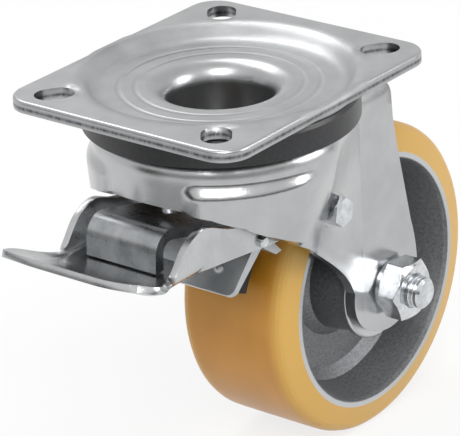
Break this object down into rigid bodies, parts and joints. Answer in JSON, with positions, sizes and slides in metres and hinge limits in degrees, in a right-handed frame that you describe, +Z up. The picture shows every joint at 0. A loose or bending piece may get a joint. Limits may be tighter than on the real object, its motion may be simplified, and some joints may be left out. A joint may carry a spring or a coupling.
{
  "type": "swivel castor with foot brake",
  "caption": "Pressed-steel swivel castor with slotted top plate, ball-race head, foot brake and an amber-tread wheel on a cast centre.",
  "frame": {"origin": "centre of the mounting plate's top face, on the swivel axis", "axes": "+X towards the trailing wheel, -X towards the brake pedal, Y along the axle, +Z up out of the plate"},
  "size_m": [0.1666, 0.085, 0.1325],
  "materials": {
    "zinc": "satin",
    "black_plastic": "matt",
    "bearing_steel": "ground",
    "cast_aluminium": "as cast, rim turned bright",
    "tread_amber": "smooth, slightly glossy",
    "pad_dark": "matt"
  },
  "bodies": {
    "plate_body": {"top_plate": "zinc", "seal_ring": "black_plastic", "lower_race": "bearing_steel"},
    "fork_body": {"fork": "zinc", "upper_balls": "bearing_steel", "lower_balls": "bearing_steel", "axle_bolt": "zinc", "axle_nut": "zinc", "axle_sleeves": "zinc", "bearing_inner_rings": "bearing_steel", "pivot_screws": "zinc", "buffer_stud": "zinc"},
    "wheel_body": {"wheel_centre": "cast_aluminium", "tread": "tread_amber", "bearing_outer_rings": "bearing_steel", "bearing_balls": "bearing_steel", "bearing_shields": "bearing_steel"},
    "pedal_body": {"brake_pedal": "zinc", "pivot_bushes": "zinc", "cross_pin": "zinc", "brake_pad": "pad_dark", "shoe_plate": "zinc"},
    "strap_body": {"release_strap": "zinc"}
  },
  "joints": [
    {"name": "swivel", "type": "hinge", "parent": "plate_body", "child": "fork_body", "pos_m": [0, 0, -0.014], "axis": [0, 0, 1], "continuous": true},
    {"name": "wheel_spin", "type": "hinge", "parent": "fork_body", "child": "wheel_body", "pos_m": [0.049, 0, -0.0825], "axis": [0, 1, 0], "continuous": true},
    {"name": "pedal_hinge", "type": "hinge", "parent": "fork_body", "child": "pedal_body", "pos_m": [0.014, 0, -0.043], "axis": [0, -1, 0], "range_deg": [0, 9]},
    {"name": "strap_hinge", "type": "hinge", "parent": "pedal_body", "child": "strap_body", "pos_m": [-0.012, 0, -0.045], "axis": [0, 1, 0], "range_deg": [0, 3.5]}
  ]
}
